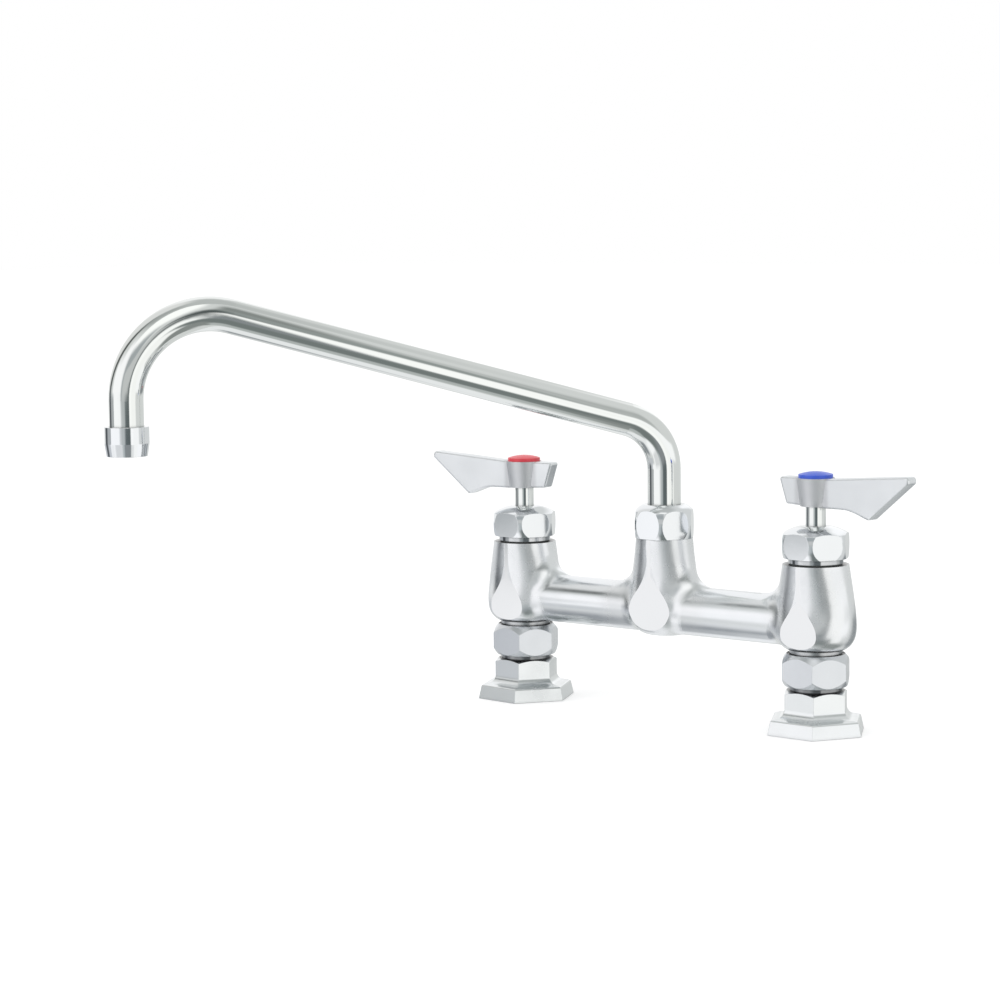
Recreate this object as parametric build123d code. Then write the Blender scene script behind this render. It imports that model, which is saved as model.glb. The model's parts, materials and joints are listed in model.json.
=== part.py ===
from build123d import *
import os
from math import cos, radians, sin, sqrt, tan

# Two-handle deck-mount bridge faucet with a swing spout, in millimetres.
# Origin: on the deck, midway between the two inlets. +X runs from the hot to the cold
# inlet, -Y faces the user and +Z is up.

INCH = 25.4

# Layout
inlet_spacing = 8 * INCH
bridge_drop = 32.6            # from the rim of the outer posts down to the bridge axis
bridge_radius = 13.9
bridge_wall = 5.4
junction_blend = 15.0         # cast blend between a post and the bridge

# Clearances
running_gap = 0.05            # radial, between pieces that turn against each other
end_gap = 0.05                # axial, between faces that turn against each other
thread_gap = 0.05             # radial, between a screwed pair at its mean line
loose_gap = 0.1               # where a piece drops into its seat

# Hexagonal deck flanges, across flats at each height
flange_height = 23.4
flange_base_af = 51.0
flange_rim_af = 47.8
flange_rim_height = 7.9
flange_rim_round = 1.2
flange_hex_af = 32.9
flange_hex_foot = 13.3        # where the cove meets the upright hexagon
flange_cove_radius = 4.6
flange_top_radius = 16.0      # where its turned top chamfer starts
flange_chamfer_height = 1.7
supply_thread_radius = 9.6    # half-inch female pipe thread, at its mean line
supply_thread_depth = 14.5

# Inlet tails and union nuts
tail_bore_radius = 8.0
tail_neck_radius = 14.5
tail_neck_height = 7.1
tail_collar_radius = 15.5
tail_collar_height = 2.7
tail_thread_radius = 13.5
tail_thread_length = 7.1
union_washer_radius = 15.0
union_washer_thickness = 1.2
union_nut_af = 35.0
union_nut_height = 17.9
union_nut_lip = 4.5
union_nut_foot_radius = 17.2  # where each turned chamfer starts
union_nut_foot_chamfer = 4.2
union_nut_top_radius = 16.2
union_nut_top_chamfer = 4.9

# Body casting: each row is half width in X, half depth in Y, height above the foot
post_foot_rise = 2.0          # the foot of the posts above the union nuts
outer_post_rows = (
    (14.6, 14.0, 0.0), (18.7, 18.0, 2.0), (21.4, 20.7, 6.0), (22.9, 20.7, 12.0), (23.1, 18.9, 20.0),
    (22.0, 18.15, 29.0), (20.1, 18.05, 38.7), (18.4, 18.05, 47.2))
spout_post_rows = (
    (8.5, 7.0, 0.0), (15.6, 14.0, 2.3), (19.9, 18.1, 7.2), (21.9, 20.1, 15.0), (21.2, 17.2, 25.0),
    (19.6, 15.7, 35.5), (17.8, 15.56, 46.0), (16.6, 15.56, 55.5))
post_sections = 18            # level ellipses that each post is lofted through
outer_flat_depth = 18.0       # axis to the polished teardrop flat
spout_flat_depth = 15.5
neck_radius = 14.6
neck_thread_radius = 15.6
neck_thread_cover = 0.4       # how far the union nut covers the top of the thread
seat_rise = 5.5               # valve seat above the foot of the post
seat_hole_radius = 5.5
seat_wall = 3.0
chamber_radius = 12.0
bonnet_thread_radius = 13.0
bonnet_thread_length = 13.0

# Bonnets
gasket_thickness = 0.7
gasket_radius = 14.3
bonnet_collar_radius = 15.1
bonnet_collar_height = 2.8
bonnet_af = 34.6
bonnet_edge_radius = 17.9     # turned outline at the foot of the hexagon
bonnet_belly_radius = 19.3
bonnet_belly_rise = 9.0
bonnet_shoulder_radius = 18.5
bonnet_hex_height = 13.3      # to the shoulder of its dome
bonnet_dome_radius = 8.0
bonnet_dome_height = 4.2
skirt_radius = 11.0
skirt_wall = 2.0
window_width = 9.0
window_height = 6.5

# Valve cartridge
seal_thickness = 2.0
seal_bore_radius = 6.2
fixed_disc_thickness = 3.5
turning_disc_thickness = 3.0
port_inner_radius = 3.0
port_outer_radius = 7.6
port_half_angle = 38.0
drive_width = 4.0
drive_depth = 1.5             # of the slot in the turning disc
drive_rise = 5.0              # bare height of the stem's tongue above the disc
stem_body_radius = 7.4
stem_radius = 5.55
stem_shoulder_rise = 3.0      # above the rim of the post
thrust_washer_thickness = 0.8
stem_ring_section = 1.75      # thickness of the stem's rubber rings
stem_ring_drops = (4.5, 9.0)  # below the rim of the post
ring_groove_play = 0.25       # axial, each side of a rubber ring
stem_square = 7.6
stem_square_height = 8.0

# Handles
handle_gap = 10.9             # hub above the bonnet's dome
hub_height = 15.5
hub_top_radius = 10.5
hub_foot_radius = 8.5
hub_entry_depth = 1.7
lever_thickness = 8.5
lever_reach = 63.5
lever_tip_rise = 3.9          # above the top of the hub
lever_tip_height = 3.9
lever_low_reach = 37.8
lever_low_drop = 5.6          # below the foot of the hub
lever_flat_reach = 19.0       # where its lower edge starts to fall
lever_flat_drop = 0.7
lever_corner_radius = 2.2
lever_edge_round = 1.4
stub_reach = 22.2
stub_foot_reach = 17.3
stub_foot_rise = 0.5
stub_corner_radius = 1.5
screw_head_radius = 6.0
screw_head_height = 2.0
screw_radius = 1.95
screw_length = 11.0
screw_slot_width = 1.2
button_radius = 9.5
button_rim = 1.9
button_dome = 1.6
button_plug_radius = 6.5
button_plug_height = 1.6

# Spout seat on the middle post
spout_bore_radius = 11.5
spout_bore_drop = 4.4         # its floor below the bridge axis
spigot_radius = 14.0
spigot_height = 10.6
spout_nut_af = 32.0
spout_nut_edge_radius = 16.8
spout_nut_belly_radius = 17.9
spout_nut_belly_rise = 7.8
spout_nut_shoulder_radius = 16.8
spout_nut_hex_height = 15.2
spout_nut_top_radius = 12.0
spout_nut_dome_height = 3.9
sleeve_flange_radius = 13.0
sleeve_flange_height = 1.6
sleeve_length = 31.0
sleeve_bore_radius = 8.0
socket_depth = 18.0
bearing_washer_thickness = 1.0
spout_ring_section = 1.75
spout_ring_drops = (21.5, 26.5)  # below the sleeve's flange

# Spout
tube_radius = 0.375 * INCH
tube_wall = 1.0
spout_reach = 12 * INCH
spout_slope = 15.55           # degrees up from level
spout_corner_height = 62.0    # where the upright and sloping lines meet, above the post
rise_bend_radius = 29.8
outlet_bend_radius = 45.6
outlet_drop = 80.3            # from the outlet's line corner down to the tube's end
spout_swing = 35.6            # degrees from the front towards the hot side, as drawn

# Aerator
aerator_top_radius = 12.2
aerator_foot_radius = 11.1
aerator_height = 15.9
aerator_taper_height = 6.9
aerator_cover = 6.2           # length of tube inside the shell
aerator_lip_radius = 7.9
aerator_lip_height = 1.5
aerator_washer_thickness = 1.8
aerator_washer_bore = 7.4
aerator_screen_thickness = 0.6
screen_hole_size = 1.7
screen_pitch = 2.5
screen_rows = 6
insert_hole_radius = 0.9
insert_hole_circles = (3.0, 6.3)
insert_holes_per_circle = (6, 12)

# Turn of each hexagon about its own axis, in degrees
flange_turn = {"hot": -5.4, "cold": -1.4}
union_nut_turn = {"hot": -3.1, "cold": -3.4}
bonnet_turn = {"hot": 0.0, "cold": -6.0}
spout_nut_turn = -1.2

side_x = {"hot": -inlet_spacing / 2, "cold": inlet_spacing / 2}
lever_heading = {"hot": 184.0, "cold": -4.0}

# Heights and radii that follow from the sizes above
tail_collar_foot = flange_height + tail_neck_height
tail_collar_top = tail_collar_foot + tail_collar_height
union_nut_foot = tail_collar_foot - loose_gap - union_nut_lip
union_nut_top = union_nut_foot + union_nut_height
neck_foot = tail_collar_top + union_washer_thickness
neck_thread_top = union_nut_top - neck_thread_cover
post_foot = union_nut_top + post_foot_rise
post_rim = post_foot + outer_post_rows[-1][2]
spout_post_top = post_foot + spout_post_rows[-1][2]
bridge_height = post_rim - bridge_drop
waterway_radius = bridge_radius - bridge_wall
seat_height = post_foot + seat_rise
bonnet_collar_foot = post_rim + gasket_thickness
bonnet_foot = bonnet_collar_foot + bonnet_collar_height
bonnet_shoulder = bonnet_foot + bonnet_hex_height
bonnet_top = bonnet_shoulder + bonnet_dome_height
bonnet_thread_foot = post_rim - bonnet_thread_length
skirt_foot = seat_height + loose_gap
skirt_bore_radius = skirt_radius - skirt_wall
disc_radius = skirt_bore_radius - running_gap
fixed_disc_foot = seat_height + seal_thickness
turning_disc_foot = fixed_disc_foot + fixed_disc_thickness + end_gap
turning_disc_top = turning_disc_foot + turning_disc_thickness
window_top = turning_disc_top + window_height
stem_body_foot = turning_disc_top + drive_rise
stem_shoulder = post_rim + stem_shoulder_rise
bonnet_ceiling = stem_shoulder + thrust_washer_thickness + end_gap
hub_foot = bonnet_top + handle_gap
hub_top = hub_foot + hub_height
stem_step = hub_foot + hub_entry_depth
stem_top = stem_step + stem_square_height
recess_floor = hub_top - button_plug_height - loose_gap - screw_head_height
screw_tip = recess_floor - screw_length
spigot_top = spout_post_top + spigot_height
sleeve_flange_foot = spigot_top + end_gap
sleeve_flange_top = sleeve_flange_foot + sleeve_flange_height
sleeve_foot = sleeve_flange_foot - sleeve_length
sleeve_radius = spout_bore_radius - running_gap
bearing_washer_top = sleeve_flange_top + bearing_washer_thickness
spout_nut_ceiling = bearing_washer_top + end_gap
spout_nut_shoulder = spout_post_top + spout_nut_hex_height
spout_nut_top = spout_nut_shoulder + spout_nut_dome_height
tube_foot = sleeve_flange_top - socket_depth
rise_corner = spout_post_top + spout_corner_height
outlet_corner = rise_corner + spout_reach * tan(radians(spout_slope))
tube_end = outlet_corner - outlet_drop
outlet_x = -spout_reach * sin(radians(spout_swing))
outlet_y = -spout_reach * cos(radians(spout_swing))
aerator_top = tube_end + aerator_cover
aerator_foot = aerator_top - aerator_height
aerator_cavity_radius = tube_radius + thread_gap
aerator_washer_foot = tube_end - aerator_washer_thickness
aerator_screen_foot = aerator_washer_foot - aerator_screen_thickness
aerator_insert_foot = aerator_foot + aerator_lip_height


def disc(x, y, foot, top, radius):
    """A plain upright cylinder standing between two heights."""
    return Pos(x, y, foot) * Cylinder(radius, top - foot, align=(Align.CENTER, Align.CENTER, Align.MIN))


def ring(x, y, foot, top, radius, bore):
    """A plain ring standing between two heights."""
    return disc(x, y, foot, top, radius) - disc(x, y, foot, top, bore)


def turned(x, y, outline):
    """A solid turned about the upright line at x, y. Each point is radius, height."""
    face = make_face(Polyline(*[(radius, 0, height) for radius, height in outline], close=True))
    return Pos(x, y, 0) * revolve(face, Axis.Z)


def hexagon(x, foot, top, across_flats, turn):
    """An upright hexagonal prism with a corner at the turn angle from +X."""
    outline = RegularPolygon(across_flats / sqrt(3), 6, rotation=turn)
    return Pos(x, 0, foot) * extrude(outline, top - foot)


def barrel_blank(x, edge, belly, shoulder, rim):
    """The turned blank of a bonnet or spout nut: barrel sides, then a domed top.

    Each argument after x is a radius and a height, from the foot up."""
    edge, belly, shoulder, rim = [(radius, 0, height) for radius, height in (edge, belly, shoulder, rim)]
    crown_middle = ((shoulder[0] + rim[0]) / 2, 0, shoulder[2] + 0.65 * (rim[2] - shoulder[2]))
    outline = ThreePointArc(edge, belly, shoulder)
    outline += ThreePointArc(shoulder, crown_middle, rim)
    outline += Polyline(rim, (0, 0, rim[2]), (0, 0, edge[2]), edge)
    return Pos(x, 0, 0) * revolve(make_face(outline), Axis.Z)


def rubber_ring(x, y, height, outer_radius, section):
    """An O-ring lying level, its outside at the given radius."""
    return Pos(x, y, height) * Torus(outer_radius - section / 2, section / 2)


def ring_groove(x, y, height, body_radius, outer_radius, section):
    """The groove that a rubber ring lies in."""
    half_width = section / 2 + ring_groove_play
    return ring(x, y, height - half_width, height + half_width, body_radius + loose_gap, outer_radius - section)


def ring_heights(top, drops):
    return [top - drop for drop in drops]


# The one casting of body, bridge and posts

def post_shell(x, rows):
    """The cast outside of one post, lofted through level ellipses along one smooth outline.

    Each ellipse is a left and a right half, so no joining line runs into the bridge."""
    outline = Spline(*rows)
    sections = []
    for step in range(post_sections + 1):
        width, depth, rise = outline @ (step / post_sections)
        halves = [Edge.make_ellipse(width, depth, start_angle=start, end_angle=start + 180) for start in (-90, 90)]
        sections.append(Pos(x, 0, post_foot + rise) * make_face(halves))
    return loft(sections)


def flat_cut(x, side, depth, top):
    """The metal in front of (side -1) or behind (side 1) one teardrop flat of a post."""
    reach = 2 * outer_post_rows[-1][0]
    return Pos(x, side * (depth + reach / 2), (post_foot + top) / 2) * Box(2 * reach, reach, top - post_foot)


def is_junction(edge):
    """True for an edge, whole or half, where the bridge enters a post."""
    box = edge.bounding_box()
    return abs(box.size.Z - 2 * bridge_radius) < 1 and box.size.X < bridge_radius


def make_bridge_body():
    hot = post_shell(side_x["hot"], outer_post_rows)
    cold = post_shell(side_x["cold"], outer_post_rows)
    middle = post_shell(0, spout_post_rows)
    bar_start = side_x["hot"] + chamber_radius - bridge_wall
    bar_plane = Plane((bar_start, 0, bridge_height), x_dir=(0, 0, -1), z_dir=(1, 0, 0))
    casting = hot + cold + middle + extrude(bar_plane * Circle(bridge_radius), -2 * bar_start)
    casting = fillet([edge for edge in casting.edges() if is_junction(edge)], junction_blend)
    for side in (-1, 1):
        casting -= flat_cut(0, side, spout_flat_depth, spout_post_top)
        for x in side_x.values():
            casting -= flat_cut(x, side, outer_flat_depth, post_rim)
    casting += disc(0, 0, spout_post_top, spigot_top, spigot_radius)
    for x in side_x.values():
        casting += disc(x, 0, neck_thread_top, seat_height, neck_radius)
        casting += disc(x, 0, neck_foot, neck_thread_top, neck_thread_radius)
        casting -= disc(x, 0, neck_foot, seat_height - seat_wall, tail_bore_radius)
        casting -= disc(x, 0, neck_foot, seat_height, seat_hole_radius)
        casting -= disc(x, 0, seat_height, post_rim, chamber_radius)
        casting -= disc(x, 0, bonnet_thread_foot, post_rim, bonnet_thread_radius)
    waterway = Plane((side_x["hot"], 0, bridge_height), z_dir=(1, 0, 0)) * Circle(waterway_radius)
    casting -= extrude(waterway, inlet_spacing)
    casting -= disc(0, 0, bridge_height - spout_bore_drop, spigot_top, spout_bore_radius)
    return casting


# Inlets

def make_deck_flange(side):
    """A hexagonal foot with a coved waist: three crossed slabs of one outline."""
    x = side_x[side]
    hex_half = flange_hex_af / 2
    cove_start = (hex_half + flange_cove_radius, 0, flange_hex_foot - flange_cove_radius)
    cove_end = (hex_half, 0, flange_hex_foot)
    cove_dip = flange_cove_radius * (1 - sin(radians(45)))
    cove_middle = (hex_half + cove_dip, 0, flange_hex_foot - flange_cove_radius + cove_dip)
    half = Polyline((0, 0, 0), (flange_base_af / 2, 0, 0), (flange_rim_af / 2, 0, flange_rim_height), cove_start)
    half += ThreePointArc(cove_start, cove_middle, cove_end)
    half += Polyline(cove_end, (hex_half, 0, flange_height), (0, 0, flange_height), (0, 0, 0))
    half_face = make_face(half)
    rim_corner = half_face.vertices().sort_by_distance((flange_rim_af / 2, 0, flange_rim_height))[0]
    half_face = fillet(rim_corner, flange_rim_round)
    slab_face = half_face + mirror(half_face, Plane.YZ)
    slab = extrude(slab_face, flange_base_af, both=True)
    flange = None
    for step in range(3):
        turned_slab = Rot(0, 0, flange_turn[side] + 30 + 60 * step) * slab
        flange = turned_slab if flange is None else flange & turned_slab
    flange = Pos(x, 0, 0) * flange
    corner = flange_hex_af / sqrt(3)
    slope = flange_chamfer_height / (corner - flange_top_radius)
    beyond = corner + loose_gap
    flange -= turned(x, 0, ((flange_top_radius, flange_height), (flange_top_radius, flange_height + 1),
                            (beyond, flange_height + 1),
                            (beyond, flange_height - slope * (beyond - flange_top_radius))))
    flange -= disc(x, 0, 0, supply_thread_depth, supply_thread_radius)
    flange -= disc(x, 0, 0, flange_height, tail_bore_radius)
    return flange - disc(x, 0, flange_height - tail_thread_length, flange_height, tail_thread_radius + thread_gap)


def make_inlet_tail(side):
    """The threaded tail that the union nut pulls up against the body."""
    return turned(side_x[side], 0, (
        (tail_bore_radius, flange_height - tail_thread_length),
        (tail_thread_radius, flange_height - tail_thread_length), (tail_thread_radius, flange_height),
        (tail_neck_radius, flange_height), (tail_neck_radius, tail_collar_foot),
        (tail_collar_radius, tail_collar_foot), (tail_collar_radius, tail_collar_top),
        (tail_bore_radius, tail_collar_top)))


def make_union_nut(side):
    x = side_x[side]
    corner = union_nut_af / sqrt(3)
    blank = turned(x, 0, (
        (0, union_nut_foot), (union_nut_foot_radius, union_nut_foot),
        (corner, union_nut_foot + union_nut_foot_chamfer), (corner, union_nut_top - union_nut_top_chamfer),
        (union_nut_top_radius, union_nut_top), (0, union_nut_top)))
    nut = blank & hexagon(x, union_nut_foot, union_nut_top, union_nut_af, union_nut_turn[side])
    nut -= disc(x, 0, union_nut_foot, union_nut_top, tail_neck_radius + loose_gap)
    return nut - disc(x, 0, union_nut_foot + union_nut_lip, union_nut_top, neck_thread_radius + thread_gap)


def make_union_washer(side):
    return ring(side_x[side], 0, tail_collar_top, neck_foot, union_washer_radius, tail_bore_radius + loose_gap)


# Valves

def sector_ports(heading):
    """The two facing ports of a ceramic disc, as a level outline about the origin."""
    reach = 2 * port_outer_radius
    ports = Sketch()
    for turn in (heading, heading + 180):
        left = radians(turn + port_half_angle)
        right = radians(turn - port_half_angle)
        wedge = make_face(Polyline((0, 0), (reach * cos(right), reach * sin(right)),
                                   (reach * cos(left), reach * sin(left)), close=True))
        ports += wedge & (Circle(port_outer_radius) - Circle(port_inner_radius))
    return ports


def make_fixed_disc(side):
    x = side_x[side]
    ports = extrude(Pos(x, 0, fixed_disc_foot) * sector_ports(0), fixed_disc_thickness)
    return disc(x, 0, fixed_disc_foot, fixed_disc_foot + fixed_disc_thickness, disc_radius) - ports


def make_turning_disc(side):
    """Closed, its ports lie across those of the fixed disc."""
    x = side_x[side]
    ports = extrude(Pos(x, 0, turning_disc_foot) * sector_ports(90), turning_disc_thickness)
    slot = Pos(x, 0, turning_disc_top - drive_depth / 2) * Box(
        2 * skirt_radius, drive_width + 2 * loose_gap, drive_depth)
    return disc(x, 0, turning_disc_foot, turning_disc_top, disc_radius) - ports - slot


def make_disc_seal(side):
    return ring(side_x[side], 0, seat_height, fixed_disc_foot, disc_radius, seal_bore_radius)


def make_stem(side):
    """Tongue, sealed body, bare shaft and the square that carries the handle."""
    x = side_x[side]
    tongue_foot = turning_disc_top - drive_depth + loose_gap
    tongue_box = Pos(x, 0, (tongue_foot + stem_body_foot) / 2) * Box(
        2 * stem_body_radius, drive_width, stem_body_foot - tongue_foot)
    stem = tongue_box & disc(x, 0, tongue_foot, stem_body_foot, stem_body_radius)
    stem += disc(x, 0, stem_body_foot, stem_shoulder, stem_body_radius)
    stem += disc(x, 0, stem_shoulder, stem_step, stem_radius)
    stem += Pos(x, 0, stem_step) * Box(
        stem_square, stem_square, stem_square_height, align=(Align.CENTER, Align.CENTER, Align.MIN))
    for height in ring_heights(post_rim, stem_ring_drops):
        stem -= ring_groove(x, 0, height, stem_body_radius, stem_body_radius, stem_ring_section)
    return stem - disc(x, 0, screw_tip - end_gap, stem_top, screw_radius + thread_gap)


def make_stem_o_rings(side):
    rings = [rubber_ring(side_x[side], 0, height, stem_body_radius, stem_ring_section)
             for height in ring_heights(post_rim, stem_ring_drops)]
    return Compound(rings)


def make_thrust_washer(side):
    return ring(side_x[side], 0, stem_shoulder, stem_shoulder + thrust_washer_thickness,
                stem_body_radius, stem_radius + running_gap)


def make_bonnet(side):
    """Hexagonal cap, its thread and the windowed skirt that holds the ceramic discs."""
    x = side_x[side]
    blank = barrel_blank(
        x, (bonnet_edge_radius, bonnet_foot), (bonnet_belly_radius, bonnet_foot + bonnet_belly_rise),
        (bonnet_shoulder_radius, bonnet_shoulder), (bonnet_dome_radius, bonnet_top))
    bonnet = blank & hexagon(x, bonnet_foot, bonnet_top, bonnet_af, bonnet_turn[side])
    bonnet += disc(x, 0, bonnet_collar_foot, bonnet_foot, bonnet_collar_radius)
    bonnet += disc(x, 0, bonnet_thread_foot + loose_gap, bonnet_collar_foot, bonnet_thread_radius - thread_gap)
    bonnet += disc(x, 0, skirt_foot, bonnet_thread_foot + loose_gap, skirt_radius)
    bonnet -= disc(x, 0, skirt_foot, window_top, skirt_bore_radius)
    bonnet -= disc(x, 0, window_top, bonnet_ceiling, stem_body_radius + running_gap)
    bonnet -= disc(x, 0, bonnet_ceiling, bonnet_top, stem_radius + running_gap)
    return bonnet - Pos(x, 0, turning_disc_top + window_height / 2) * Box(
        2 * chamber_radius, window_width, window_height)


def make_bonnet_gasket(side):
    return ring(side_x[side], 0, post_rim, bonnet_collar_foot, gasket_radius, bonnet_thread_radius + loose_gap)


# Handles

def make_handle(side):
    """A tapered hub with a deep lever on one side and a short stub on the other.

    It is drawn with its hub's foot at the origin."""
    hub = turned(0, 0, ((0, 0), (hub_foot_radius, 0), (hub_top_radius, hub_height), (0, hub_height)))
    tip_top = hub_height + lever_tip_rise
    low_point = (lever_low_reach, 0, -lever_low_drop)
    flat_end = (lever_flat_reach, 0, -lever_flat_drop)
    outline = Polyline(flat_end, (hub_foot_radius, 0, -lever_flat_drop), (-stub_foot_reach, 0, stub_foot_rise),
                       (-stub_reach, 0, hub_height), (hub_top_radius, 0, hub_height), (lever_reach, 0, tip_top),
                       (lever_reach, 0, tip_top - lever_tip_height), low_point)
    outline += Spline(flat_end, low_point, tangents=((1, 0, 0), (1, 0, -0.28)))
    side_face = make_face(outline)
    side_face = fillet([corner for corner in side_face.vertices() if corner.X > lever_flat_reach + loose_gap],
                       lever_corner_radius)
    side_face = fillet([corner for corner in side_face.vertices() if corner.X < 0], stub_corner_radius)
    lever = extrude(side_face, lever_thickness / 2, both=True)
    long_edges = [edge for edge in lever.edges() if abs(abs(edge.center().Y) - lever_thickness / 2) < 0.01]
    handle = fillet(long_edges, lever_edge_round) + hub
    handle -= disc(0, 0, -lever_low_drop, hub_entry_depth, stem_radius + loose_gap)
    square = stem_square + 2 * loose_gap
    handle -= Pos(0, 0, hub_entry_depth) * Box(
        square, square, hub_height, align=(Align.CENTER, Align.CENTER, Align.MIN))
    handle -= disc(0, 0, recess_floor - hub_foot, tip_top, button_plug_radius + loose_gap)
    return Pos(side_x[side], 0, hub_foot) * Rot(0, 0, lever_heading[side]) * handle


def make_handle_screw(side):
    x = side_x[side]
    screw = disc(x, 0, recess_floor, recess_floor + screw_head_height, screw_head_radius)
    screw += disc(x, 0, screw_tip, recess_floor, screw_radius)
    slot = Pos(x, 0, recess_floor + screw_head_height) * Box(
        2 * screw_head_radius, screw_slot_width, screw_head_height)
    return screw - slot


def make_index_button(side):
    """A snap-in cap with a low domed top."""
    x = side_x[side]
    dome_top = hub_top + button_rim + button_dome
    dome_radius = (button_radius ** 2 + button_dome ** 2) / (2 * button_dome)
    button = disc(x, 0, hub_top, dome_top, button_radius) & Pos(x, 0, dome_top - dome_radius) * Sphere(dome_radius)
    return button + disc(x, 0, hub_top - button_plug_height, hub_top, button_plug_radius)


# Spout and its swivel

def make_spout_nut():
    blank = barrel_blank(
        0, (spout_nut_edge_radius, spout_post_top), (spout_nut_belly_radius, spout_post_top + spout_nut_belly_rise),
        (spout_nut_shoulder_radius, spout_nut_shoulder), (spout_nut_top_radius, spout_nut_top))
    nut = blank & hexagon(0, spout_post_top, spout_nut_top, spout_nut_af, spout_nut_turn)
    nut -= disc(0, 0, spout_post_top, spout_nut_ceiling, spigot_radius + thread_gap)
    return nut - disc(0, 0, spout_post_top, spout_nut_top, tube_radius + loose_gap)


def make_spout_sleeve():
    """The swivel sleeve brazed on the foot of the tube."""
    sleeve = turned(0, 0, (
        (sleeve_bore_radius, sleeve_foot), (sleeve_radius, sleeve_foot), (sleeve_radius, sleeve_flange_foot),
        (sleeve_flange_radius, sleeve_flange_foot), (sleeve_flange_radius, sleeve_flange_top),
        (tube_radius, sleeve_flange_top), (tube_radius, tube_foot), (sleeve_bore_radius, tube_foot)))
    for height in ring_heights(sleeve_flange_foot, spout_ring_drops):
        sleeve -= ring_groove(0, 0, height, sleeve_radius, sleeve_radius, spout_ring_section)
    return sleeve


def make_spout_o_rings():
    rings = [rubber_ring(0, 0, height, sleeve_radius, spout_ring_section)
             for height in ring_heights(sleeve_flange_foot, spout_ring_drops)]
    return Compound(rings)


def make_bearing_washer():
    return ring(0, 0, sleeve_flange_top, bearing_washer_top, sleeve_flange_radius, tube_radius + loose_gap)


def make_spout_tube():
    route = FilletPolyline((0, 0, tube_foot), (0, 0, rise_corner), (outlet_x, outlet_y, outlet_corner),
                           (outlet_x, outlet_y, tube_end), radius=[rise_bend_radius, outlet_bend_radius])
    section = Pos(0, 0, tube_foot) * (Circle(tube_radius) - Circle(tube_radius - tube_wall))
    return sweep(section, route)


# Aerator

def make_aerator_shell():
    return turned(outlet_x, outlet_y, (
        (aerator_lip_radius, aerator_foot), (aerator_foot_radius, aerator_foot),
        (aerator_top_radius, aerator_foot + aerator_taper_height), (aerator_top_radius, aerator_top),
        (aerator_cavity_radius, aerator_top), (aerator_cavity_radius, aerator_insert_foot),
        (aerator_lip_radius, aerator_insert_foot)))


def make_aerator_insert():
    insert = disc(outlet_x, outlet_y, aerator_insert_foot, aerator_screen_foot, tube_radius)
    for circle_radius, count in zip(insert_hole_circles, insert_holes_per_circle):
        for index in range(count):
            angle = radians(360 * index / count)
            insert -= disc(outlet_x + circle_radius * cos(angle), outlet_y + circle_radius * sin(angle),
                           aerator_insert_foot, aerator_screen_foot, insert_hole_radius)
    return insert


def make_aerator_screen():
    screen = disc(outlet_x, outlet_y, aerator_screen_foot, aerator_washer_foot, tube_radius)
    middle = (screen_rows - 1) / 2
    holes = []
    for row in range(screen_rows):
        for column in range(screen_rows):
            across = (row - middle) * screen_pitch
            along = (column - middle) * screen_pitch
            if sqrt(across ** 2 + along ** 2) + screen_hole_size < tube_radius:
                place = Pos(outlet_x + across, outlet_y + along, (aerator_screen_foot + aerator_washer_foot) / 2)
                holes.append(place * Box(screen_hole_size, screen_hole_size, 2 * aerator_screen_thickness))
    return screen - holes


def make_aerator_washer():
    return ring(outlet_x, outlet_y, aerator_washer_foot, tube_end, tube_radius, aerator_washer_bore)


pieces = {
    "bridge_body": make_bridge_body(),
    "spout_nut": make_spout_nut(),
    "spout_sleeve": make_spout_sleeve(),
    "spout_o_rings": make_spout_o_rings(),
    "spout_bearing_washer": make_bearing_washer(),
    "spout_tube": make_spout_tube(),
    "aerator_shell": make_aerator_shell(),
    "aerator_insert": make_aerator_insert(),
    "aerator_screen": make_aerator_screen(),
    "aerator_washer": make_aerator_washer()}

paired_makers = {
    "deck_flange": make_deck_flange,
    "inlet_tail": make_inlet_tail,
    "coupling_nut": make_union_nut,
    "coupling_washer": make_union_washer,
    "bonnet": make_bonnet,
    "bonnet_gasket": make_bonnet_gasket,
    "disc_seal": make_disc_seal,
    "fixed_disc": make_fixed_disc,
    "turning_disc": make_turning_disc,
    "stem": make_stem,
    "stem_o_rings": make_stem_o_rings,
    "thrust_washer": make_thrust_washer,
    "handle": make_handle,
    "handle_screw": make_handle_screw,
    "index_button": make_index_button}

for side in ("hot", "cold"):
    for name, make in paired_makers.items():
        pieces[side + "_" + name] = make(side)

os.makedirs("parts", exist_ok=True)
for name, piece in pieces.items():
    piece.label = name
    export_step(piece, "parts/" + name + ".step")
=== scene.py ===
import json
import math

import bmesh
import bpy
from mathutils import Matrix, Vector

# Looks of a deck-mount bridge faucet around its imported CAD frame, in metres.

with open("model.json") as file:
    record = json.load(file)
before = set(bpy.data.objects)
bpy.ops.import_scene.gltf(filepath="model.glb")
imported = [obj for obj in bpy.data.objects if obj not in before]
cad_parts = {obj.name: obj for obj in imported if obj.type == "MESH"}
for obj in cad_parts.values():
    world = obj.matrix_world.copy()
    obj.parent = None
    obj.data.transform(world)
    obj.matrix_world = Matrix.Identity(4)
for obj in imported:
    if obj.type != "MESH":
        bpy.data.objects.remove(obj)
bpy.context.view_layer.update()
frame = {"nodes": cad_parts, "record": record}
scene = bpy.context.scene
scene.view_settings.view_transform = "Standard"


# Camera at the photograph's viewing point

IMAGE_SIDE = 1000
FOCAL_PIXELS = 2787.455
SENSOR_WIDTH = 36.0
CAMERA_PLACE = Vector((0.920633, -1.284499, 0.283576))
CAMERA_YAW = -0.681
CAMERA_PITCH = 0.101
CAMERA_ROLL = -0.012
NEAREST_SEEN = 0.01
FARTHEST_SEEN = 100


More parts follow.
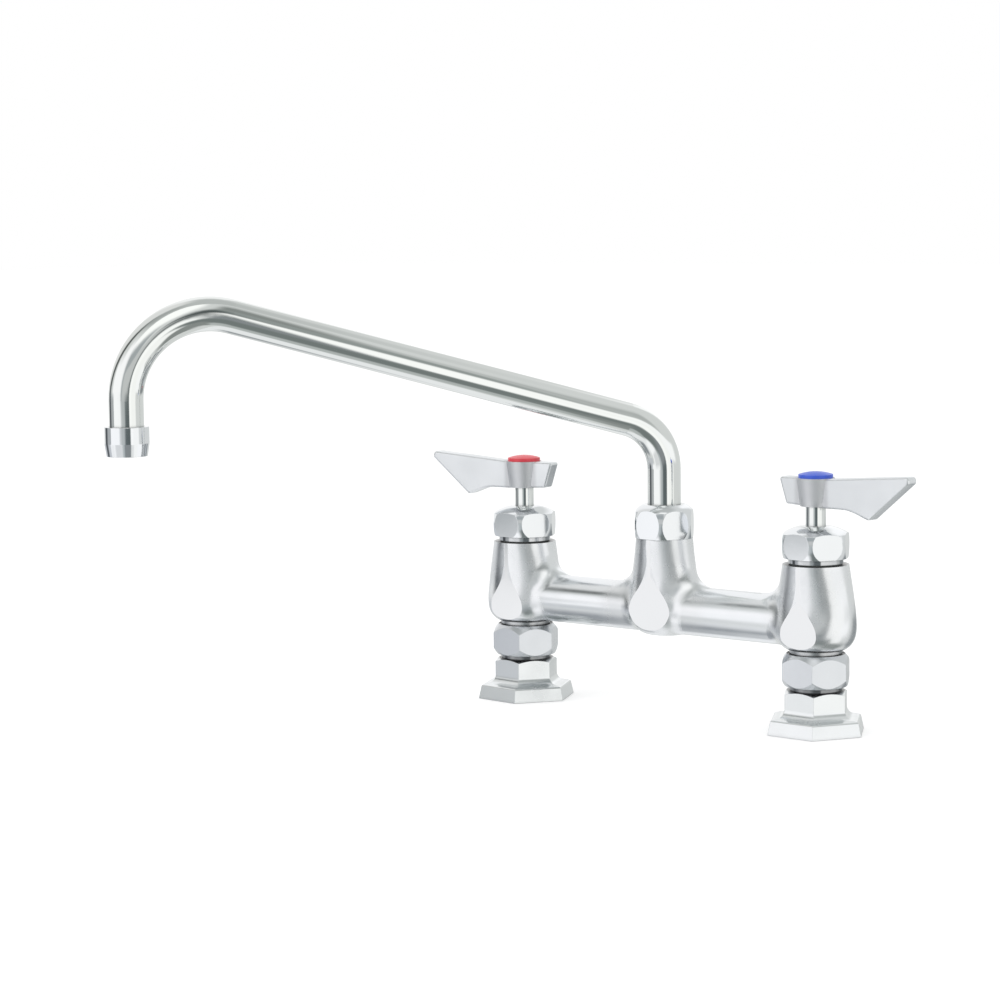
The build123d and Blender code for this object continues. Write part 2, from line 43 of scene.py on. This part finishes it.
def make_camera():
    forward = Vector((math.sin(CAMERA_YAW) * math.cos(CAMERA_PITCH),
                      math.cos(CAMERA_YAW) * math.cos(CAMERA_PITCH),
                      -math.sin(CAMERA_PITCH)))
    level = Vector((math.cos(CAMERA_YAW), -math.sin(CAMERA_YAW), 0))
    upright = level.cross(forward)
    right = level * math.cos(CAMERA_ROLL) + upright * math.sin(CAMERA_ROLL)
    up = upright * math.cos(CAMERA_ROLL) - level * math.sin(CAMERA_ROLL)
    data = bpy.data.cameras.new("camera")
    data.sensor_width = SENSOR_WIDTH
    data.lens = FOCAL_PIXELS * SENSOR_WIDTH / IMAGE_SIDE
    data.clip_start = NEAREST_SEEN
    data.clip_end = FARTHEST_SEEN
    camera = bpy.data.objects.new("camera", data)
    scene.collection.objects.link(camera)
    camera.matrix_world = Matrix((
        (right.x, up.x, -forward.x, CAMERA_PLACE.x),
        (right.y, up.y, -forward.y, CAMERA_PLACE.y),
        (right.z, up.z, -forward.z, CAMERA_PLACE.z),
        (0, 0, 0, 1)))
    scene.camera = camera


# Small helpers for node trees

def opaque(colour):
    return tuple(colour) + (1,)


def scaled(colour, factor):
    return tuple(channel * factor for channel in colour)


class Tree:
    """Adds nodes to one node tree and links them."""

    def __init__(self, owner):
        owner.use_nodes = True
        self.tree = owner.node_tree
        self.tree.nodes.clear()

    def add(self, kind, inputs=None, **settings):
        node = self.tree.nodes.new(kind)
        for name, value in settings.items():
            setattr(node, name, value)
        for key, value in (inputs or {}).items():
            self.feed(node.inputs[key], value)
        return node

    def feed(self, socket, value):
        if isinstance(value, bpy.types.NodeSocket):
            self.tree.links.new(value, socket)
        else:
            socket.default_value = value

    def math(self, operation, *values):
        node = self.add("ShaderNodeMath", operation=operation)
        for socket, value in zip(node.inputs, values):
            self.feed(socket, value)
        return node.outputs[0]

    def ramp(self, value, start, end, first=0.0, last=1.0, kind="LINEAR"):
        """From first at start to last at end, and level beyond both."""
        return self.add("ShaderNodeMapRange", {0: value, 1: start, 2: end, 3: first, 4: last},
                        interpolation_type=kind).outputs[0]

    def band(self, value, low, high, soft):
        """1 between low and high, with soft shoulders of that width centred on both."""
        half = soft / 2
        rise = self.ramp(value, low - half, low + half, kind="SMOOTHSTEP")
        fall = self.ramp(value, high - half, high + half, 1.0, 0.0, kind="SMOOTHSTEP")
        return self.math("MULTIPLY", rise, fall)

    def mix(self, factor, first, second):
        """The second colour where factor is 1."""
        node = self.add("ShaderNodeMix", data_type="RGBA")
        self.feed(node.inputs[0], factor)
        self.feed(node.inputs[6], first)
        self.feed(node.inputs[7], second)
        return node.outputs[2]

    def blend(self, factor, first, second):
        """The second number where factor is 1."""
        rest = self.math("SUBTRACT", 1.0, factor)
        return self.math("ADD", self.math("MULTIPLY", factor, second), self.math("MULTIPLY", rest, first))

    def own_place(self):
        """Where a point of the object is at rest, in metres."""
        return self.add("ShaderNodeTexCoord").outputs["Object"]

    def axes(self, place):
        return self.add("ShaderNodeSeparateXYZ", {0: place}).outputs

    def noise(self, inputs):
        return self.add("ShaderNodeTexNoise", inputs).outputs[0]


# Studio: a light tent that only the metal reflects, and a plain white level for the rest.
# Each card of the tent is azimuths, elevations, lean of its sides (degrees of azimuth for each
# degree of elevation), softness of its sides and ends, and colour. Azimuth runs from the
# photograph's side of the faucet, to the right as seen from there. A later card lies over
# an earlier one.

TENT_RADIUS = 1.6
TENT_CENTRE = (0, 0, 0.1)
TENT_MERIDIANS = 96
TENT_PARALLELS = 48
TENT_HEADING = math.radians(35.6)
TENT_WALL = (0.75, 0.765, 0.755, 1)
TENT_CARDS = {
    "top": ((-180, 180), (68, 95), 0.0, (4, 20), (0.56, 0.58, 0.57, 1)),
    "back_left": ((-190, -122), (-4, 62), 0.0, (20, 12), (1.05, 1.05, 1.05, 1)),
    "left_wall": ((-150, -106), (8, 74), 0.35, (22, 16), (0.85, 0.85, 0.84, 1)),
    "floor_left": ((-190, -14), (-95, -34), 0.0, (24, 20), (0.95, 0.96, 0.97, 1)),
    "low_left": ((-150, -74), (-26, -5), 0.0, (8, 3), (0.62, 0.64, 0.67, 1)),
    "low_left_deep": ((-150, -84), (-60, -31), 0.0, (22, 12), (0.3, 0.32, 0.34, 1)),
    "left_box": ((-66, -27), (0, 36), 0.15, (9, 12), (1.14, 1.13, 1.14, 1)),
    "left_box_side": ((-85, -58), (-1, 25), 0.15, (7, 14), (1.14, 1.13, 1.14, 1)),
    "left_box_foot": ((-64, -25), (-54, 3), 0.0, (10, 10), (1.12, 1.12, 1.13, 1)),
    "left_box_edge": ((-81, -57), (-14, 3), 0.0, (6, 8), (1.12, 1.12, 1.13, 1)),
    "left_gap": ((-117, -102), (3, 58), 0.65, (10, 12), (0.1, 0.11, 0.105, 1)),
    "left_gap_side": ((-100, -75.5), (-7, 4), 0.0, (2, 4), (0.46, 0.48, 0.49, 1)),
    "left_gap_foot": ((-116, -97), (-13, 6), 0.0, (8, 10), (0.1, 0.11, 0.12, 1)),
    "left_box_low": ((-57, -24), (-32, -9), 0.0, (12, 8), (0.8, 0.81, 0.82, 1)),
    "left_gap_end": ((-104, -72), (46, 72), 0.45, (24, 14), (0.42, 0.44, 0.43, 1)),
    "front_top": ((-44, -2), (30, 68), 0.25, (14, 14), (1.2, 1.2, 1.18, 1)),
    "front_left": ((-33, -2), (-2, 26), 0.0, (9, 12), (0.42, 0.45, 0.46, 1)),
    "front_low_left": ((-22, -4), (-30, -2), 0.0, (14, 8), (0.5, 0.54, 0.55, 1)),
    "camera_gap": ((-8, 21), (-28, 4), 0.1, (12, 12), (0.13, 0.155, 0.16, 1)),
    "camera_gap_low": ((-10, 22), (-26, -8), 0.0, (12, 6), (0.28, 0.3, 0.31, 1)),
    "camera_gap_top": ((3, 21), (0, 34), 0.35, (12, 14), (0.1, 0.115, 0.115, 1)),
    "centre_rise": ((-26, 14), (1, 13), 0.0, (10, 4), (0.62, 0.635, 0.63, 1)),
    "gap_end": ((8, 27), (30, 56), 0.35, (12, 14), (0.28, 0.3, 0.29, 1)),
    "right_grey": ((40, 62), (16, 44), 0.1, (14, 14), (0.5, 0.52, 0.51, 1)),
    "right_dark": ((22, 40), (17, 34), 0.1, (10, 10), (0.33, 0.36, 0.35, 1)),
    "low_front": ((-18, 39), (-62, -24), 0.0, (16, 12), (0.2, 0.225, 0.22, 1)),
    "floor_front": ((-30, 40), (-76, -56), 0.0, (20, 12), (0.5, 0.53, 0.52, 1)),
    "low_right": ((24, 110), (-74, -42), 0.0, (10, 14), (0.28, 0.3, 0.29, 1)),
    "right_box": ((20, 46), (-21, 14), -0.06, (6, 9), (1.16, 1.16, 1.14, 1)),
    "right_box_side": ((33, 68), (-42, 4), -0.2, (10, 9), (1.1, 1.1, 1.08, 1)),
    "right_box_end": ((60, 92), (-24, -6), 0.0, (12, 2), (1.12, 1.12, 1.12, 1)),
    "right_box_rise": ((42, 92), (1, 14), 0.0, (12, 4), (1.12, 1.12, 1.12, 1)),
    "right_shade": ((112, 152), (-40, -6), 0.0, (16, 3), (0.28, 0.3, 0.31, 1)),
    "right_arc": ((168, 188), (6, 50), -0.7, (14, 16), (1.15, 1.15, 1.15, 1)),
}
PLAIN_LEVEL = 0.85
SEEN_LEVEL = 1.0

FLOOR_HALF_WIDTH = 12.0
FLOOR_DROP = 0.0002
FLOOR_GRAIN = 900.0
FLOOR_TONES = (0.87, 0.89)
FLOOR_GLOW = 0.34

KEY_PLACE = (-0.9, -1.2, 1.5)
KEY_TARGET = (0, -0.05, 0.08)
KEY_SIZE = 1.4
KEY_POWER = 6.0


def flat_background(t, strength):
    return t.add("ShaderNodeBackground", {"Color": (1, 1, 1, 1), "Strength": strength}).outputs[0]


def make_world():
    """Plain white light on the object, and white behind it."""
    world = bpy.data.worlds.new("studio")
    scene.world = world
    t = Tree(world)
    path = t.add("ShaderNodeLightPath").outputs
    direct = t.math("MAXIMUM", path["Is Camera Ray"],
                    t.math("MAXIMUM", path["Is Glossy Ray"], path["Is Transmission Ray"]))
    levels = {0: direct, 1: flat_background(t, PLAIN_LEVEL), 2: flat_background(t, SEEN_LEVEL)}
    shown = t.add("ShaderNodeMixShader", levels)
    t.add("ShaderNodeOutputWorld", {0: shown.outputs[0]})


def tent_colour(t):
    """The wall's colour with every card laid over it."""
    turned = t.add("ShaderNodeVectorRotate", {"Vector": t.own_place(), "Angle": -TENT_HEADING},
                   rotation_type="Z_AXIS").outputs[0]
    across, along, height = t.axes(turned)
    azimuth = t.math("DEGREES", t.math("ARCTAN2", across, t.math("MULTIPLY", along, -1.0)))
    elevation = t.math("DEGREES", t.math("ARCSINE", t.math("DIVIDE", height, TENT_RADIUS)))
    colour = TENT_WALL
    for azimuths, elevations, lean, (side_softness, end_softness), card in TENT_CARDS.values():
        upright = t.math("SUBTRACT", azimuth, t.math("MULTIPLY", elevation, lean))
        between_sides = t.band(upright, *azimuths, side_softness)
        between_ends = t.band(elevation, *elevations, end_softness)
        colour = t.mix(t.math("MULTIPLY", between_sides, between_ends), colour, card)
    return colour


def make_tent():
    mesh = bpy.data.meshes.new("light_tent")
    shape = bmesh.new()
    bmesh.ops.create_uvsphere(shape, u_segments=TENT_MERIDIANS, v_segments=TENT_PARALLELS,
                              radius=TENT_RADIUS)
    shape.to_mesh(mesh)
    shape.free()
    tent = bpy.data.objects.new("light_tent", mesh)
    tent.location = TENT_CENTRE
    scene.collection.objects.link(tent)
    material = bpy.data.materials.new("tent_cards")
    t = Tree(material)
    glow = t.add("ShaderNodeEmission", {"Color": tent_colour(t)})
    t.add("ShaderNodeOutputMaterial", {0: glow.outputs[0]})
    material.cycles.emission_sampling = "NONE"
    mesh.materials.append(material)
    tent.visible_camera = False
    tent.visible_diffuse = False
    tent.visible_transmission = False
    tent.visible_shadow = False


def make_floor():
    far = FLOOR_HALF_WIDTH
    mesh = bpy.data.meshes.new("floor")
    mesh.from_pydata([(-far, -far, 0), (far, -far, 0), (far, far, 0), (-far, far, 0)], [], [(0, 1, 2, 3)])
    floor = bpy.data.objects.new("floor", mesh)
    floor.location.z = -FLOOR_DROP
    scene.collection.objects.link(floor)
    material = bpy.data.materials.new("pale_floor")
    t = Tree(material)
    shade = t.ramp(t.noise({"Scale": FLOOR_GRAIN, "Detail": 3.0}), 0.0, 1.0, *FLOOR_TONES)
    colour = t.add("ShaderNodeCombineColor", {0: shade, 1: shade, 2: shade}).outputs[0]
    matt = t.add("ShaderNodeBsdfDiffuse", {"Color": colour})
    seen = t.add("ShaderNodeLightPath").outputs["Is Camera Ray"]
    glow = t.add("ShaderNodeEmission", {"Strength": t.math("MULTIPLY", seen, FLOOR_GLOW)})
    both = t.add("ShaderNodeAddShader", {0: matt.outputs[0], 1: glow.outputs[0]})
    t.add("ShaderNodeOutputMaterial", {0: both.outputs[0]})
    mesh.materials.append(material)
    floor.visible_glossy = False


def make_key_lamp():
    data = bpy.data.lights.new("key", "AREA")
    data.shape = "SQUARE"
    data.size = KEY_SIZE
    data.energy = KEY_POWER
    lamp = bpy.data.objects.new("key", data)
    scene.collection.objects.link(lamp)
    lamp.location = KEY_PLACE
    lamp.rotation_euler = (Vector(KEY_TARGET) - Vector(KEY_PLACE)).to_track_quat("-Z", "Y").to_euler()
    lamp.visible_glossy = False
    lamp.visible_camera = False


# Where a finish changes on one piece: each function is 1 there and 0 elsewhere

HALF_SPACING = 0.1016
FAR_BELOW = -0.1
NUT_TOP = 0.047
NUT_TOP_BLUR = 0.004
FLANGE_TOP = 0.0245
FLANGE_TOP_BLUR = 0.001
BAR_START = 0.034
BAR_END = 0.078
BAR_BLUR = 0.012
OUTER_FLAT_DEPTH = 0.018
OUTER_FLAT_TIP = 0.073
MIDDLE_FLAT_DEPTH = 0.0155
MIDDLE_FLAT_TIP = 0.08
STRIP_HALF_WIDTH = 0.0014
TIP_SPREAD = 0.95
FLAT_SKIN = 0.0001
FLAT_BLUR = 0.0004
HUB_RADIUS = 0.0118
HUB_BLUR = 0.003


def below_bridge(t, place):
    """The deck flanges and the union nuts."""
    _, _, height = t.axes(place)
    return t.band(height, FAR_BELOW, NUT_TOP, NUT_TOP_BLUR)


def on_flange(t, place):
    """The deck flanges alone."""
    _, _, height = t.axes(place)
    return t.band(height, FAR_BELOW, FLANGE_TOP, FLANGE_TOP_BLUR)


def along_bar(t, place):
    """The two bars between the posts."""
    across, _, _ = t.axes(place)
    return t.band(t.math("ABSOLUTE", across), BAR_START, BAR_END, BAR_BLUR)


def on_flats(t, place, depth, centre, tip):
    """The polished teardrops that lie that far from the bridge line: each ends in a point at
    the tip's height, with a narrow strip above it."""
    across, along, height = t.axes(place)
    on_plane = t.band(t.math("ABSOLUTE", along), depth - FLAT_SKIN, depth + FLAT_SKIN, FLAT_SKIN)
    aside = t.math("ABSOLUTE", t.math("SUBTRACT", t.math("ABSOLUTE", across), centre))
    below = t.math("MAXIMUM", t.math("SUBTRACT", tip, height), 0.0)
    spread = t.math("MULTIPLY", below, TIP_SPREAD)
    inside = t.math("ADD", t.math("SUBTRACT", spread, aside), STRIP_HALF_WIDTH)
    return t.math("MULTIPLY", on_plane, t.ramp(inside, 0.0, FLAT_BLUR))


def outer_flats(t, place):
    return on_flats(t, place, OUTER_FLAT_DEPTH, HALF_SPACING, OUTER_FLAT_TIP)


def middle_flats(t, place):
    return on_flats(t, place, MIDDLE_FLAT_DEPTH, 0.0, MIDDLE_FLAT_TIP)


def around_stem(t, place):
    """The hub of either handle, up to where its blade begins."""
    across, along, _ = t.axes(place)
    offset = t.math("SUBTRACT", t.math("ABSOLUTE", across), HALF_SPACING)
    square = t.math("ADD", t.math("MULTIPLY", offset, offset), t.math("MULTIPLY", along, along))
    return t.band(t.math("SQRT", square), FAR_BELOW, HUB_RADIUS, HUB_BLUR)


# Materials

CLOUD_SCALE = 60.0
CLOUD_DARK = 0.965
GRAIN_FINENESS = 2500.0
POLISH_SWING = (0.8, 1.2)
GRAIN_HEIGHT = 0.4
BUMP_DEPTH = 0.0002
PLATE_BUMP = 0.25
CREVICE_SHADE_SAMPLES = 16
EDGE_SAMPLES = 6
MOTTLE_DARK = 0.8
MATT_SWING = 0.15
MATT_BUMP = 0.3


def principled(t, inputs):
    shader = t.add("ShaderNodeBsdfPrincipled", inputs)
    t.add("ShaderNodeOutputMaterial", {0: shader.outputs[0]})


def plated(name, colour, roughness, wave, grain=0.0, grain_scale=(1, 1, 1), edge=0.0003, local=(),
           crevice_shade=(0.006, 0.25, 0.7, 0.12)):
    """Chrome plate: a slight tone change, polish that varies and a faint unevenness.
    grain is how strong its fine grain is, and edge the radius to which edges look rounded, if any.
    Each entry of local is another colour and roughness, and a function that says where they hold.
    The last argument paints shade into the colour where a neighbour comes close: how far that reaches,
    the openness at which the shade is fullest and at which it ends, and what it leaves of the colour."""
    material = bpy.data.materials.new(name)
    t = Tree(material)
    place = t.own_place()
    cloud = t.noise({"Vector": place, "Scale": CLOUD_SCALE, "Detail": 4.0})
    fine_place = t.add("ShaderNodeMapping", {"Vector": place, "Scale": grain_scale}).outputs[0]
    fine = t.noise({"Vector": fine_place, "Scale": GRAIN_FINENESS, "Detail": 5.0, "Roughness": 0.65})
    tone = t.mix(cloud, opaque(scaled(colour, CLOUD_DARK)), opaque(colour))
    level = roughness
    for other_colour, other_roughness, where in local:
        mask = where(t, place)
        tone = t.mix(mask, tone, opaque(other_colour))
        level = t.blend(mask, level, other_roughness)
    # Painted shade: the colour darkens where a neighbour comes close, as in crevices and recesses.
    reach, closed, clear, left = crevice_shade
    openness = t.add("ShaderNodeAmbientOcclusion", {"Distance": reach}, samples=CREVICE_SHADE_SAMPLES)
    painted_shade_scale = t.ramp(openness.outputs["AO"], closed, clear, left, 1.0)
    tone = t.add("ShaderNodeVectorMath", {0: tone, "Scale": painted_shade_scale}, operation="SCALE").outputs[0]
    polish = t.math("MULTIPLY", level, t.ramp(cloud, 0.3, 0.7, *POLISH_SWING))
    rough = t.math("ADD", polish, t.math("MULTIPLY", t.math("SUBTRACT", fine, 0.5), grain))
    height = t.math("ADD", t.math("MULTIPLY", cloud, wave), t.math("MULTIPLY", fine, grain * GRAIN_HEIGHT))
    surface = {"Height": height, "Strength": PLATE_BUMP, "Distance": BUMP_DEPTH}
    if edge:
        surface["Normal"] = t.add("ShaderNodeBevel", {"Radius": edge}, samples=EDGE_SAMPLES).outputs[0]
    bump = t.add("ShaderNodeBump", surface).outputs[0]
    principled(t, {"Base Color": tone, "Metallic": 1.0, "Roughness": rough, "Normal": bump})
    return material


def plain_matt(name, colour, roughness, mottle):
    """Rubber, fibre, nylon, ceramic or plastic: mottled a little, with a fine matt grain."""
    material = bpy.data.materials.new(name)
    t = Tree(material)
    cloud = t.noise({"Vector": t.own_place(), "Scale": mottle, "Detail": 5.0})
    tone = t.mix(cloud, opaque(scaled(colour, MOTTLE_DARK)), opaque(colour))
    rough = t.ramp(cloud, 0.0, 1.0, roughness * (1 - MATT_SWING), roughness * (1 + MATT_SWING))
    bump = t.add("ShaderNodeBump", {"Height": cloud, "Strength": MATT_BUMP, "Distance": BUMP_DEPTH})
    principled(t, {"Base Color": tone, "Roughness": rough, "Normal": bump.outputs[0]})
    return material


POLISHED_FLAT = ((0.76, 0.77, 0.78), 0.08)
PLATED = {
    "chrome_plate": {
        "colour": (0.82, 0.84, 0.86), "roughness": 0.07, "wave": 0.3,
        "local": [((0.7, 0.72, 0.75), 0.24, below_bridge),
                  ((0.82, 0.84, 0.85), 0.24, on_flange)]},
    "polished_chrome": {"colour": (0.82, 0.84, 0.83), "roughness": 0.05, "wave": 0.1},
    "satin_chrome": {
        "colour": (0.84, 0.855, 0.87), "roughness": 0.27, "wave": 0.3,
        "grain": 0.03, "grain_scale": (1, 1, 0.25), "edge": None,
        "local": [((0.83, 0.85, 0.87), 0.2, along_bar),
                  (*POLISHED_FLAT, outer_flats),
                  (*POLISHED_FLAT, middle_flats)],
        # Painted shade in the satin body's crevices, with a longer reach than on the other plate.
        "crevice_shade": (0.014, 0.3, 0.85, 0.2)},
    # Tail necks: a duller plate, and a base colour darkened to paint the shade of their recess between
    # flange, nut and post.
    "dull_chrome": {"colour": (0.4, 0.41, 0.42), "roughness": 0.12, "wave": 0.2},
    "cast_chrome": {
        "colour": (0.84, 0.86, 0.88), "roughness": 0.36, "wave": 0.4,
        "grain": 0.015, "edge": 0.00015,
        "local": [((0.73, 0.74, 0.76), 0.5, around_stem)]},
    "bare_brass": {"colour": (0.72, 0.56, 0.28), "roughness": 0.3, "wave": 0.3},
    "stainless": {"colour": (0.62, 0.62, 0.62), "roughness": 0.25, "wave": 0.3},
}
MATT = {
    "black_rubber": {"colour": (0.03, 0.03, 0.03), "roughness": 0.7, "mottle": 900.0},
    "grey_fibre": {"colour": (0.16, 0.17, 0.17), "roughness": 0.8, "mottle": 1500.0},
    "white_nylon": {"colour": (0.82, 0.82, 0.79), "roughness": 0.5, "mottle": 700.0},
    "white_ceramic": {"colour": (0.86, 0.85, 0.82), "roughness": 0.2, "mottle": 400.0},
    "red_plastic": {"colour": (0.9, 0.07, 0.1), "roughness": 0.3, "mottle": 300.0},
    "blue_plastic": {"colour": (0.06, 0.14, 0.8), "roughness": 0.3, "mottle": 300.0},
}


def dress_nodes():
    materials = {name: plated(name, **finish) for name, finish in PLATED.items()}
    materials.update({name: plain_matt(name, **finish) for name, finish in MATT.items()})
    for entry in frame["record"]["subparts"]:
        for slot in frame["nodes"][entry["node"]].material_slots:
            slot.material = materials[entry["material_slot"]]


make_camera()
make_world()
make_tent()
make_floor()
make_key_lamp()
dress_nodes()
